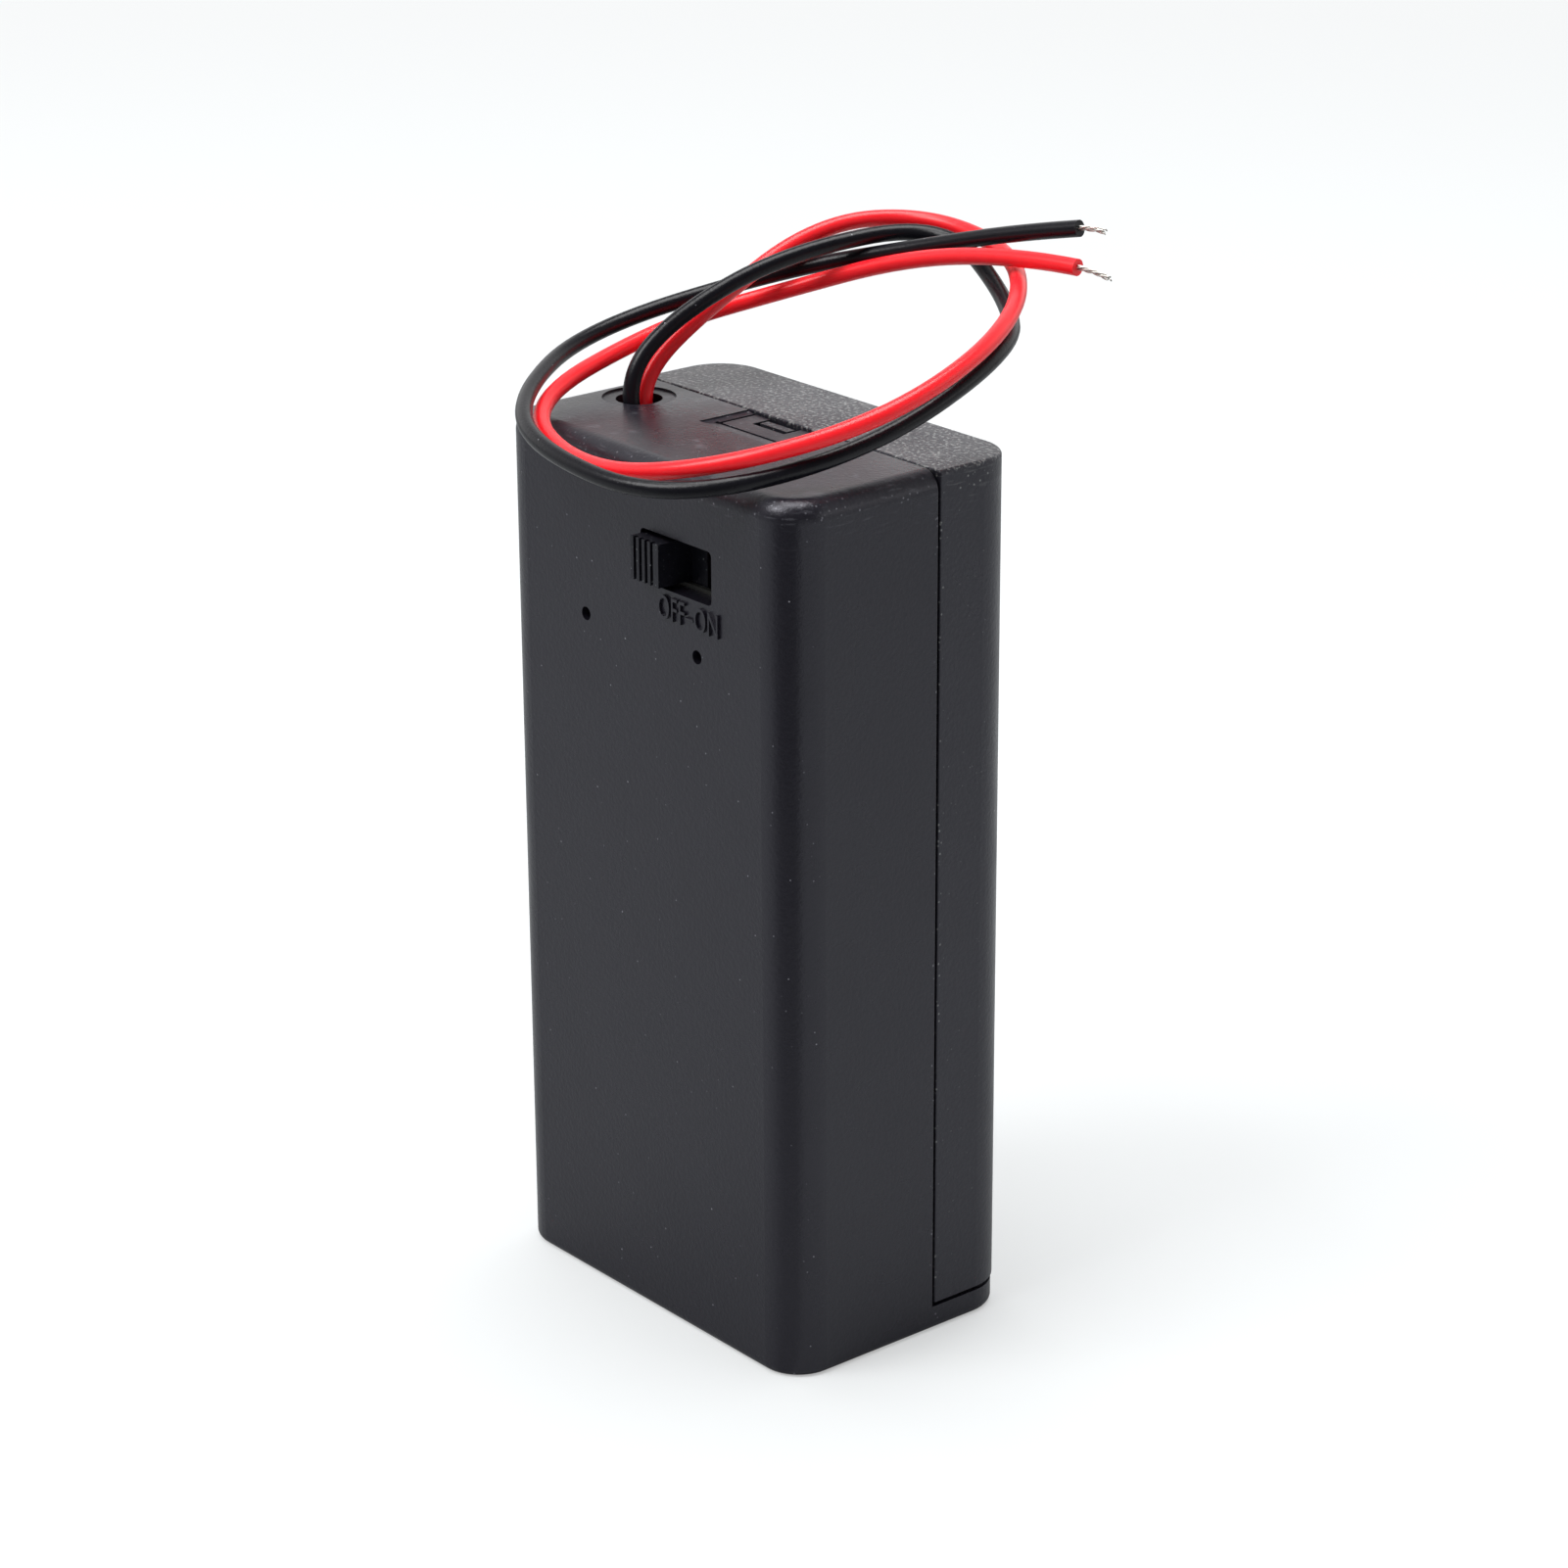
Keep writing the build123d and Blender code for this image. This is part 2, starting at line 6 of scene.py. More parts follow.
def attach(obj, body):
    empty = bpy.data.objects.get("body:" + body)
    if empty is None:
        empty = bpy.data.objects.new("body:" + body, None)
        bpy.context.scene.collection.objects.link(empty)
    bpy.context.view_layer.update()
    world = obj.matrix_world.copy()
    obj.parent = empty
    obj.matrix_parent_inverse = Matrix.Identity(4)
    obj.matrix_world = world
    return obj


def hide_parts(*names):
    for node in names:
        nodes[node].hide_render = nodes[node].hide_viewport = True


# Closed box for a nine volt battery: black moulded case and cover, slide switch, two free leads.
# The frame is in metres, +Z up, the switch face looks along -Y.

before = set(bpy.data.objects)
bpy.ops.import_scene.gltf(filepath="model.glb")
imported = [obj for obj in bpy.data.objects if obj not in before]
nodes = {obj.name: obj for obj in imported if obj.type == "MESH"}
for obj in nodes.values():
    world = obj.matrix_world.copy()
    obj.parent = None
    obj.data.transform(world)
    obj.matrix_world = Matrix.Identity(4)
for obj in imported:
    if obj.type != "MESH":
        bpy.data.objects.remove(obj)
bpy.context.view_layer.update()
mm = 0.001
print("frame loaded:", len(nodes), "nodes")


# small helpers

def hexColour(text):
    # sRGB hex to linear RGBA
    parts = [int(text[i:i + 2], 16) / 255 for i in (1, 3, 5)]
    return [c / 12.92 if c <= 0.04045 else ((c + 0.055) / 1.055) ** 2.4 for c in parts] + [1.0]


def addNode(tree, kind, settings=None, inputs=None, links=None):
    # settings are the node's own properties, inputs are socket values,
    # and links join its sockets to the outputs of other nodes
    node = tree.nodes.new(kind)
    for key, value in (settings or {}).items():
        setattr(node, key, value)
    for key, value in (inputs or {}).items():
        node.inputs[key].default_value = value
    for key, output in (links or {}).items():
        tree.links.new(output, node.inputs[key])
    return node


def newMaterial(name):
    # an empty node tree, and the Object coordinates that its patterns lie on
    material = bpy.data.materials.new(name)
    material.use_nodes = True
    tree = material.node_tree
    tree.nodes.clear()
    return material, tree, addNode(tree, "ShaderNodeTexCoord").outputs["Object"]


def finishMaterial(tree, shader):
    addNode(tree, "ShaderNodeOutputMaterial", None, None, {"Surface": shader.outputs[0]})


def perMetre(sizeMm):
    # noise scale that gives features of that size in millimetres
    return 1000.0 / sizeMm


def putInScene(name, data):
    piece = bpy.data.objects.new(name, data)
    bpy.context.scene.collection.objects.link(piece)
    return piece


def aimedAt(place, aim):
    # stands at one point and looks at another
    turn = (Vector(aim) - Vector(place)).to_track_quat("-Z", "Y").to_matrix().to_4x4()
    return Matrix.Translation(place) @ turn


def ringFaces(rings, around):
    # four-sided faces between neighbouring rings of points, each ring closed on itself
    ring = np.arange(rings - 1)[:, None]
    spot = np.arange(around)[None, :]
    corner = ring * around + spot
    beside = ring * around + (spot + 1) % around
    return np.stack([corner, corner + around, beside + around, beside], -1).reshape(-1, 4)


# camera, at the photograph's angle

cameraView = {"place": (0.243112, -0.197802, 0.159103), "aim": (0.0012274, 0.0014898, 0.0408377),
              "rollDegrees": -0.327, "lensMm": 100.667, "sensorMm": 36.0,
              "nearestMetres": 0.01, "farthestMetres": 20}


def placeCamera(view):
    data = bpy.data.cameras.new("productCamera")
    data.lens = view["lensMm"]
    data.sensor_width = view["sensorMm"]
    data.clip_start = view["nearestMetres"]
    data.clip_end = view["farthestMetres"]
    camera = putInScene("productCamera", data)
    roll = Matrix.Rotation(np.radians(view["rollDegrees"]), 4, "Z")
    camera.matrix_world = aimedAt(view["place"], view["aim"]) @ roll
    bpy.context.scene.camera = camera


placeCamera(cameraView)
bpy.context.scene.view_settings.view_transform = "Standard"
print("camera placed")


# black ABS of the case, the cover and the knob

speckShape = {"core": 0.4, "faintness": 2.5}  # full brightness up to core, then down to the rim
edgeWear = {"speckCellMm": 0.42, "speckMm": 0.11, "topMm": (67.4, 68.85), "seamMm": (2.65, 3.35),
            "softMm": 0.15, "share": 0.6, "rougher": 0.07}
# a spark-eroded mould's real grain is nearer 0.1 mm: it is drawn at 0.3 mm so that it shows
absShared = {"grainMm": 0.32, "speckMm": 0.08, "cloudFrom": 0.3, "cloudTo": 0.7,
             "glossier": 0.05, "duller": 0.06, "index": 1.53, "shine": "#f6f5ff",
             "dustAndSheen": 0.0, "topFaceFromMm": 68.6, "topFaceFullMm": 68.95,
             "pitMm": 0.3, "pitFrom": 0.53, "pitTo": 0.66,
             "scuff": 0.14, "scuffMm": 1.6, "scuffFlatness": 7, "scuffFrom": 0.6, "scuffTo": 0.75,
             "scuffBandMm": 4.5, "wear": edgeWear}
absCase = {**absShared, "colour": "#121119", "pale": "#1c1a22", "rough": 0.28, "wideMm": 7.0,
           "speckCellMm": 0.95, "speckColour": "#8c8c94", "reliefMm": 0.025}
# the cover's top face is paler than the case's: pale dust and a painted sheen
absCover = {**absShared, "colour": "#17161e", "pale": "#24232a", "rough": 0.31, "wideMm": 5.0,
            "speckCellMm": 0.8, "speckColour": "#9b9d9b", "reliefMm": 0.035, "dustAndSheen": 0.46}
absKnobLook = {**absShared, "colour": "#0b0b13", "pale": "#13131b", "rough": 0.42,
               "grainMm": 0.3, "wideMm": 2.0, "speckCellMm": 0.38, "speckMm": 0.075,
               "speckColour": "#8f9496", "reliefMm": 0.02, "shine": "#dcdce6", "scuff": 0.0}


def between(tree, value, lowMm, highMm, softMm):
    # 1 where a coordinate lies between two values, fading to 0 over the soft width outside them
    half = (highMm - lowMm) / 2
    off = addNode(tree, "ShaderNodeMath", {"operation": "SUBTRACT"}, {1: (lowMm + half) * mm},
                  {0: value})
    off = addNode(tree, "ShaderNodeMath", {"operation": "ABSOLUTE"}, None, {0: off.outputs[0]})
    return addNode(tree, "ShaderNodeMapRange", {"interpolation_type": "SMOOTHSTEP"},
                   {"From Min": (half + softMm) * mm, "From Max": half * mm},
                   {"Value": off.outputs[0]}).outputs["Result"]


def dustSpecks(tree, place, look):
    # one round speck in each Voronoi cell: distance there is in cells, so the speck's radius is
    # divided by the cell's size, and the cell's own random colour, raised to a power so that most
    # specks are faint, says how bright it is
    cells = addNode(tree, "ShaderNodeTexVoronoi", None,
                    {"Scale": perMetre(look["speckCellMm"])}, {"Vector": place})
    rim = look["speckMm"] / look["speckCellMm"]
    inside = addNode(tree, "ShaderNodeMapRange", None,
                     {"From Min": rim, "From Max": rim * speckShape["core"]},
                     {"Value": cells.outputs["Distance"]})
    shade = addNode(tree, "ShaderNodeSeparateColor", None, None, {"Color": cells.outputs["Color"]})
    bright = addNode(tree, "ShaderNodeMath", {"operation": "POWER"}, {1: speckShape["faintness"]},
                     {0: shade.outputs["Red"]})
    return addNode(tree, "ShaderNodeMath", {"operation": "MULTIPLY"}, None,
                   {0: inside.outputs["Result"], 1: bright.outputs[0]}).outputs[0]


def mouldedAbs(name, look):
    # ABS from a spark-eroded mould: a deep black that shows grey wherever it mirrors the paper,
    # with a fine even grain, faintly cloudy gloss, pale specks of dust, and a top face made paler
    # by dust and a painted sheen
    material, tree, place = newMaterial(name)
    grain = addNode(tree, "ShaderNodeTexNoise", None,
                    {"Scale": perMetre(look["grainMm"]), "Detail": 2.0, "Roughness": 0.6},
                    {"Vector": place})
    clouds = addNode(tree, "ShaderNodeTexNoise", None,
                     {"Scale": perMetre(look["wideMm"]), "Detail": 3.0, "Roughness": 0.55},
                     {"Vector": place})
    specks = dustSpecks(tree, place, look)
    axes = addNode(tree, "ShaderNodeSeparateXYZ", None, None, {0: place})
    # pale dust lies in the pits of the grain on the top face, and the same pale colour is also
    # a painted sheen there, which makes the top face lighter than the sides
    level = addNode(tree, "ShaderNodeMapRange", {"interpolation_type": "SMOOTHSTEP"},
                    {"From Min": look["topFaceFromMm"] * mm, "From Max": look["topFaceFullMm"] * mm,
                     "To Max": look["dustAndSheen"]}, {"Value": axes.outputs["Z"]})
    pits = addNode(tree, "ShaderNodeTexNoise", None,
                   {"Scale": perMetre(look["pitMm"]), "Detail": 1.0}, {"Vector": place})
    inPits = addNode(tree, "ShaderNodeMapRange", None,
                     {"From Min": look["pitFrom"], "From Max": look["pitTo"]},
                     {"Value": pits.outputs["Fac"]})
    dustAndSheenShare = addNode(tree, "ShaderNodeMath", {"operation": "MULTIPLY"}, None,
                        {0: level.outputs["Result"], 1: inPits.outputs["Result"]})
    # handling leaves thin level scuffs just below the top edge
    flattened = addNode(tree, "ShaderNodeMapping", None, {"Scale": (1, 1, look["scuffFlatness"])},
                        {"Vector": place})
    streaks = addNode(tree, "ShaderNodeTexNoise", None,
                      {"Scale": perMetre(look["scuffMm"]), "Detail": 2.0},
                      {"Vector": flattened.outputs["Vector"]})
    scuffed = addNode(tree, "ShaderNodeMapRange", None,
                      {"From Min": look["scuffFrom"], "From Max": look["scuffTo"]},
                      {"Value": streaks.outputs["Fac"]})
    edgeBand = addNode(tree, "ShaderNodeMapRange", {"interpolation_type": "SMOOTHSTEP"},
                       {"From Min": (look["topFaceFromMm"] - look["scuffBandMm"]) * mm,
                        "From Max": look["topFaceFromMm"] * mm, "To Max": look["scuff"]},
                       {"Value": axes.outputs["Z"]})
    # scuffs, and on the top face pale dust with a painted sheen
    scuffDustSheenShare = addNode(tree, "ShaderNodeMath", {"operation": "MULTIPLY_ADD"}, None,
                         {0: scuffed.outputs["Result"], 1: edgeBand.outputs["Result"],
                          2: dustAndSheenShare.outputs[0]})
    # edges wear first: finer specks along the top edge and on both sides of the seam
    worn = look["wear"]
    wear = dustSpecks(tree, place, worn)
    topEdge = between(tree, axes.outputs["Z"], *worn["topMm"], worn["softMm"])
    besideSeam = between(tree, axes.outputs["Y"], *worn["seamMm"], worn["softMm"])
    edges = addNode(tree, "ShaderNodeMath", {"operation": "MAXIMUM"}, None,
                    {0: topEdge, 1: besideSeam})
    edges = addNode(tree, "ShaderNodeMath", {"operation": "MULTIPLY"}, {1: worn["share"]},
                    {0: edges.outputs[0]})
    wearShare = addNode(tree, "ShaderNodeMath", {"operation": "MULTIPLY_ADD"}, None,
                        {0: wear, 1: edges.outputs[0], 2: specks})
    paleShare = addNode(tree, "ShaderNodeMath", {"operation": "MAXIMUM"}, None,
                        {0: wearShare.outputs[0], 1: scuffDustSheenShare.outputs[0]})
    tone = addNode(tree, "ShaderNodeMix", {"data_type": "RGBA"},
                   {6: hexColour(look["colour"]), 7: hexColour(look["pale"])},
                   {0: grain.outputs["Fac"]})
    colour = addNode(tree, "ShaderNodeMix", {"data_type": "RGBA"},
                     {7: hexColour(look["speckColour"])},
                     {0: paleShare.outputs[0], 6: tone.outputs[2]})
    # gloss drifts with the clouds, and the rubbed top edge is duller
    gloss = addNode(tree, "ShaderNodeMapRange", None,
                    {"From Min": look["cloudFrom"], "From Max": look["cloudTo"],
                     "To Min": look["rough"] - look["glossier"],
                     "To Max": look["rough"] + look["duller"]}, {"Value": clouds.outputs["Fac"]})
    gloss = addNode(tree, "ShaderNodeMath", {"operation": "MULTIPLY_ADD"}, {1: worn["rougher"]},
                    {0: topEdge, 2: gloss.outputs["Result"]})
    relief = addNode(tree, "ShaderNodeBump", None, {"Distance": look["reliefMm"] * mm},
                     {"Height": grain.outputs["Fac"]})
    # carbon black gives the plastic's shine a faint cool tint
    shader = addNode(tree, "ShaderNodeBsdfPrincipled", None,
                     {"IOR": look["index"], "Specular Tint": hexColour(look["shine"])},
                     {"Base Color": colour.outputs[2], "Roughness": gloss.outputs[0],
                      "Normal": relief.outputs["Normal"]})
    finishMaterial(tree, shader)
    return material


# PVC skins of the leads

pvcShared = {"waveMm": 2.4, "waveDepthMm": 0.06, "grainMm": 0.22, "glossier": 0.05, "duller": 0.07,
             "reachByColour": (1.0, 0.2, 0.15)}
pvcRed = {**pvcShared, "colour": "#ff1e2b", "deep": "#fb1622", "rough": 0.3, "index": 1.5,
          "waveStrength": 0.03, "grainDepthMm": 0.005, "letsIn": 0.4, "reachMm": 0.3,
          "speckCellMm": 1.6, "speckMm": 0.06, "speckColour": "#ffa8a8"}
pvcBlack = {**pvcShared, "colour": "#100f17", "deep": "#0a0a0f", "rough": 0.29, "index": 1.38,
            "waveStrength": 0.04, "grainDepthMm": 0.012, "letsIn": 0.0, "reachMm": 0.0,
            "speckCellMm": 1.0, "speckMm": 0.08, "speckColour": "#a4a4ac"}


def extrudedPvc(name, look):
    # soft PVC drawn over wire: long smooth highlights on a faintly uneven wall, a few dust specks
    material, tree, place = newMaterial(name)
    wave = addNode(tree, "ShaderNodeTexNoise", None,
                   {"Scale": perMetre(look["waveMm"]), "Detail": 2.0}, {"Vector": place})
    fine = addNode(tree, "ShaderNodeTexNoise", None,
                   {"Scale": perMetre(look["grainMm"]), "Detail": 1.0}, {"Vector": place})
    tone = addNode(tree, "ShaderNodeMix", {"data_type": "RGBA"},
                   {6: hexColour(look["deep"]), 7: hexColour(look["colour"])},
                   {0: wave.outputs["Fac"]})
    tone = addNode(tree, "ShaderNodeMix", {"data_type": "RGBA"},
                   {7: hexColour(look["speckColour"])},
                   {0: dustSpecks(tree, place, look), 6: tone.outputs[2]})
    gloss = addNode(tree, "ShaderNodeMapRange", None,
                    {"To Min": look["rough"] - look["glossier"],
                     "To Max": look["rough"] + look["duller"]}, {"Value": fine.outputs["Fac"]})
    relief = addNode(tree, "ShaderNodeBump", None,
                     {"Strength": look["waveStrength"], "Distance": look["waveDepthMm"] * mm},
                     {"Height": wave.outputs["Fac"]})
    relief = addNode(tree, "ShaderNodeBump", None, {"Distance": look["grainDepthMm"] * mm},
                     {"Height": fine.outputs["Fac"], "Normal": relief.outputs["Normal"]})
    # light goes a little way into the red skin, so that its far side stays bright
    shader = addNode(tree, "ShaderNodeBsdfPrincipled", None,
                     {"IOR": look["index"], "Subsurface Weight": look["letsIn"],
                      "Subsurface Radius": look["reachByColour"],
                      "Subsurface Scale": look["reachMm"] * mm},
                     {"Base Color": tone.outputs[2], "Roughness": gloss.outputs["Result"],
                      "Normal": relief.outputs["Normal"]})
    finishMaterial(tree, shader)
    return material


# metals of the strands, the contacts and the switch

metalSurface = {"glossier": 0.08, "duller": 0.1, "grainStrength": 0.15, "grainDepthMm": 0.02}
metals = {
    # bright silvery wire, with fine lines along it
    "tinnedCopperDrawn": {"colour": "#eeece7", "dull": "#c9c6c0", "rough": 0.4,
                          "stretch": (1, 6, 6), "grainMm": 0.2, "stainMm": 0.6},
    # warm pale metal with clear reflections
    "nickelPlatePressed": {"colour": "#d6d3cb", "dull": "#b9b5ab", "rough": 0.24,
                           "stretch": (1, 1, 1), "grainMm": 0.3, "stainMm": 1.8},
    # yellow metal with brownish patches
    "brassPressed": {"colour": "#d9b25c", "dull": "#a98442", "rough": 0.32,
                     "stretch": (1, 1, 1), "grainMm": 0.25, "stainMm": 1.2},
    # soft grey-white sheet, blurred reflections
    "tinPlateDull": {"colour": "#c6c5c1", "dull": "#9c9a94", "rough": 0.42,
                     "stretch": (1, 4, 1), "grainMm": 0.25, "stainMm": 1.4},
    # zinc sheet with long rolling marks, its grey darkened as painted shade for its place inside
    # the switch window
    "zincPlateShadedSheet": {"colour": "#818280", "dull": "#585955", "rough": 0.5,
                       "stretch": (1, 8, 8), "grainMm": 0.25, "stainMm": 2.2},
    # orange-brown strip, fairly bright
    "springBronze": {"colour": "#c98a55", "dull": "#96623a", "rough": 0.3,
                     "stretch": (6, 1, 6), "grainMm": 0.2, "stainMm": 0.9},
    # grey beads with a satin skin
    "solderSolidified": {"colour": "#c9c9c8", "dull": "#8f8f8e", "rough": 0.34,
                         "stretch": (1, 1, 1), "grainMm": 0.15, "stainMm": 0.5},
}


def workedMetal(name, look):
    # sheet or wire: grain drawn out by rolling or drawing, and dull patches of oxide
    material, tree, place = newMaterial(name)
    stretched = addNode(tree, "ShaderNodeMapping", None, {"Scale": look["stretch"]},
                        {"Vector": place})
    grain = addNode(tree, "ShaderNodeTexNoise", None,
                    {"Scale": perMetre(look["grainMm"]), "Detail": 3.0},
                    {"Vector": stretched.outputs["Vector"]})
    stain = addNode(tree, "ShaderNodeTexNoise", None,
                    {"Scale": perMetre(look["stainMm"]), "Detail": 2.0}, {"Vector": place})
    tone = addNode(tree, "ShaderNodeMix", {"data_type": "RGBA"},
                   {6: hexColour(look["dull"]), 7: hexColour(look["colour"])},
                   {0: stain.outputs["Fac"]})
    gloss = addNode(tree, "ShaderNodeMapRange", None,
                    {"To Min": look["rough"] - metalSurface["glossier"],
                     "To Max": look["rough"] + metalSurface["duller"]},
                    {"Value": grain.outputs["Fac"]})
    relief = addNode(tree, "ShaderNodeBump", None,
                     {"Strength": metalSurface["grainStrength"],
                      "Distance": metalSurface["grainDepthMm"] * mm},
                     {"Height": grain.outputs["Fac"]})
    shader = addNode(tree, "ShaderNodeBsdfPrincipled", None, {"Metallic": 1.0},
                     {"Base Color": tone.outputs[2], "Roughness": gloss.outputs["Result"],
                      "Normal": relief.outputs["Normal"]})
    finishMaterial(tree, shader)
    return material


# boards inside the box

boardSurface = {"index": 1.5, "fibreStrength": 0.25, "fibreDepthMm": 0.04}
boards = {
    # nearly black card, matt
    "vulcanisedFibre": {"colour": "#2b2723", "deep": "#191613", "rough": 0.62,
                        "stretch": (1, 6, 1), "grainMm": 0.4},
    # brown resin board with a sheen
    "phenolicPaper": {"colour": "#9a6231", "deep": "#6f421d", "rough": 0.4,
                      "stretch": (6, 1, 1), "grainMm": 0.5},
}


def pressedBoard(name, look):
    # paper pressed hard: long faint fibres
    material, tree, place = newMaterial(name)
    stretched = addNode(tree, "ShaderNodeMapping", None, {"Scale": look["stretch"]},
                        {"Vector": place})
    fibre = addNode(tree, "ShaderNodeTexNoise", None,
                    {"Scale": perMetre(look["grainMm"]), "Detail": 4.0, "Roughness": 0.65},
                    {"Vector": stretched.outputs["Vector"]})
    tone = addNode(tree, "ShaderNodeMix", {"data_type": "RGBA"},
                   {6: hexColour(look["deep"]), 7: hexColour(look["colour"])},
                   {0: fibre.outputs["Fac"]})
    relief = addNode(tree, "ShaderNodeBump", None,
                     {"Strength": boardSurface["fibreStrength"],
                      "Distance": boardSurface["fibreDepthMm"] * mm},
                     {"Height": fibre.outputs["Fac"]})
    shader = addNode(tree, "ShaderNodeBsdfPrincipled", None,
                     {"IOR": boardSurface["index"], "Roughness": look["rough"]},
                     {"Base Color": tone.outputs[2], "Normal": relief.outputs["Normal"]})
    finishMaterial(tree, shader)
    return material


# finish of each part of the CAD model

absMatte = mouldedAbs("absSparkErodedBlack", absCase)
absCoarse = mouldedAbs("absSparkErodedCoarse", absCover)
absKnob = mouldedAbs("absKnobBlack", absKnobLook)
pvcRedSkin = extrudedPvc("pvcExtrudedRed", pvcRed)
pvcBlackSkin = extrudedPvc("pvcExtrudedBlack", pvcBlack)
metal = {name: workedMetal(name, look) for name, look in metals.items()}
board = {name: pressedBoard(name, look) for name, look in boards.items()}

finishes = {
    "case": absMatte, "cover": absCoarse, "switch_slider": absKnob,
    "snap_plate": board["vulcanisedFibre"], "switch_base": board["phenolicPaper"],
    "snap_stud": metal["nickelPlatePressed"], "snap_socket": metal["nickelPlatePressed"],
    "stud_rivet": metal["brassPressed"], "socket_rivet": metal["brassPressed"],
    "negative_tag": metal["tinPlateDull"], "positive_tag": metal["tinPlateDull"],
    "switch_can": metal["zincPlateShadedSheet"], "switch_bridge": metal["springBronze"],
    "switch_terminal_1": metal["tinPlateDull"], "switch_terminal_2": metal["tinPlateDull"],
    "switch_terminal_3": metal["tinPlateDull"], "solder_joints": metal["solderSolidified"],
    "red_jumper": pvcRedSkin,
}
for nodeName, material in finishes.items():
    for slot in nodes[nodeName].material_slots:
        slot.material = material
print("materials made:", len(bpy.data.materials))


# leads: soft PVC over stranded copper, each one smooth line from its solder joint

leads = {
    "blackLead": {
        "node": "black_lead", "strands": "black_lead_strands", "skin": pvcBlackSkin,
        "slot": "black_pvc", "length": 0.1712, "exit": (-0.01247, -0.00204, 0.069),
        "routeMm": [
            (-9.1, -0.3, 57.85), (-9.4, -0.6, 60.9), (-11.6, -1.6, 64.8), (-12.8, -2.4, 70.4),
            (-12.4, 1.6, 74.5), (-9.7, 10.7, 78.8), (-4.5, 22.7, 80.4), (6.8, 19.1, 76.8),
            (16.2, 10.9, 76.3), (16.8, -4.1, 71.4), (9.6, -16.6, 68.8), (-4.3, -17.4, 69.9),
            (-12.5, -12.6, 71.2), (-20.1, -0.6, 72.6), (-13.8, 13.5, 76.2), (-3.5, 18.6, 79.1),
            (5.6, 20.8, 81.6), (11.1, 22.1, 82.7)],
        "bareMm": 2.2, "strandCount": 5, "splay": 0.3, "droopMm": 0.4},
    "redLead": {
        "node": "red_lead", "strands": "red_lead_strands", "skin": pvcRedSkin,
        "slot": "red_pvc", "length": 0.1874, "exit": (-0.01311, -0.00024, 0.069),
        "routeMm": [
            (4.3, -1.65, 61.65), (4.3, 2.0, 61.6), (0.7, 5.2, 60.6), (-4.6, 6.2, 59.6),
            (-9.5, 4.3, 60.0), (-11.9, 1.0, 62.8), (-12.8, -0.8, 67.2), (-13.4, 0.3, 70.8),
            (-12.6, 5.2, 74.6), (-11.3, 15.4, 80.2), (-6.3, 23.0, 80.5), (4.6, 22.5, 79.2),
            (16.1, 10.8, 77.8), (18.3, -3.0, 74.1), (11.0, -13.2, 70.8), (-0.5, -15.9, 68.6),
            (-13.6, -11.6, 70.0), (-16.4, 4.2, 72.9), (-12.8, 12.7, 74.8), (-2.8, 17.3, 78.7),
            (7.9, 18.7, 80.6), (13.6, 19.6, 80.6)],
        "bareMm": 3.0, "strandCount": 5, "splay": 0.15, "droopMm": 0.35},
}
wire = {"diameterMm": 1.3, "stepsPerPoint": 12, "bevelSteps": 6}
strand = {"diameterMm": 0.14, "lapMm": 3.2, "rows": 28, "around": 10, "insideShare": 0.3,
          "ringInRadii": 2.1, "unevenSplay": 0.35, "unevenCut": 0.05}


def leadCurve(name, lead):
    # a round tube along a quadratic B-spline over the route's points, clamped at both ends
    curve = bpy.data.curves.new(name, "CURVE")
    curve.dimensions = "3D"
    route = np.array(lead["routeMm"]) * mm
    line = curve.splines.new("NURBS")
    line.points.add(len(route) - 1)
    for point, place in zip(line.points, route):
        point.co = (*place, 1.0)
    line.order_u = 3
    line.use_endpoint_u = True
    line.resolution_u = wire["stepsPerPoint"]
    curve.bevel_depth = wire["diameterMm"] / 2 * mm
    curve.bevel_resolution = wire["bevelSteps"]
    curve.use_fill_caps = True
    curve.materials.append(lead["skin"])
    return putInScene(name, curve)


